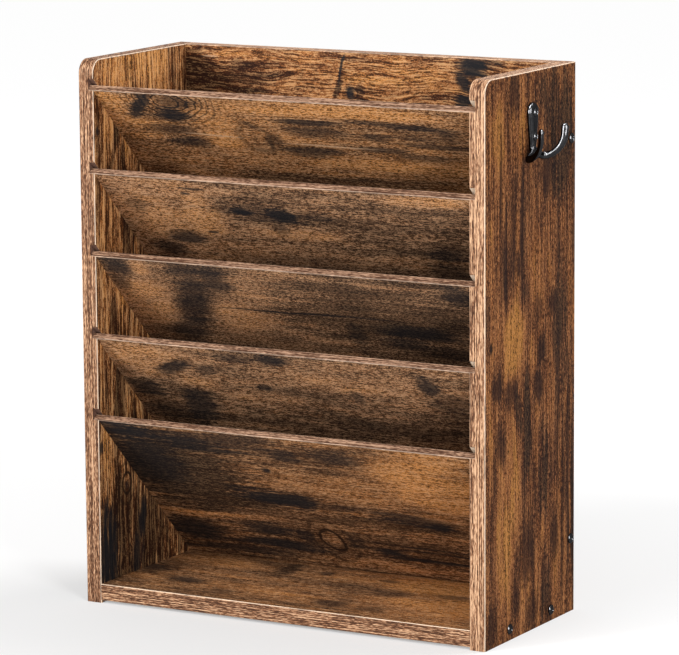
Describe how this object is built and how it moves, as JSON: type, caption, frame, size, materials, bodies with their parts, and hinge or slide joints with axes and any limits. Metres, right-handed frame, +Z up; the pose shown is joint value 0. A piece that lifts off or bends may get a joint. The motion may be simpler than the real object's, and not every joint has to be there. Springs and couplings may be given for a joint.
{
  "type": "wall file organizer",
  "caption": "Wood-look wall file organizer with slanted dividers between grooved side panels, a bottom bay and double coat hooks on its sides.",
  "frame": {"origin": "centre of the footprint at the lower edges of the side panels", "axes": "+Z up, -Y towards the open front, +Y towards the wall, +X to the right seen from the front"},
  "size_m": [0.3636, 0.14, 0.395],
  "materials": {
    "rustic_board": "matt printed laminate with dark knots and saw marks",
    "edge_band": "matt, pale, fine upright grain",
    "black_metal": "glossy black nickel",
    "zinc_steel": "bright zinc plated"
  },
  "bodies": {
    "root": {"left_side_panel": "rustic_board", "right_side_panel": "rustic_board", "back_panel": "rustic_board", "bottom_panel": "rustic_board", "divider_1": "rustic_board", "divider_2": "rustic_board", "divider_3": "rustic_board", "divider_4": "rustic_board", "divider_5": "rustic_board", "left_side_edge_band": "edge_band", "right_side_edge_band": "edge_band", "back_panel_edge_band": "edge_band", "bottom_panel_edge_band": "edge_band", "divider_1_edge_band": "edge_band", "divider_2_edge_band": "edge_band", "divider_3_edge_band": "edge_band", "divider_4_edge_band": "edge_band", "divider_5_edge_band": "edge_band", "bottom_panel_screws": "black_metal", "back_panel_screws": "black_metal", "left_hook": "black_metal", "right_hook": "black_metal", "hook_screws": "black_metal", "left_hanger_plate": "zinc_steel", "right_hanger_plate": "zinc_steel", "hanger_screws": "zinc_steel"}
  },
  "joints": []
}
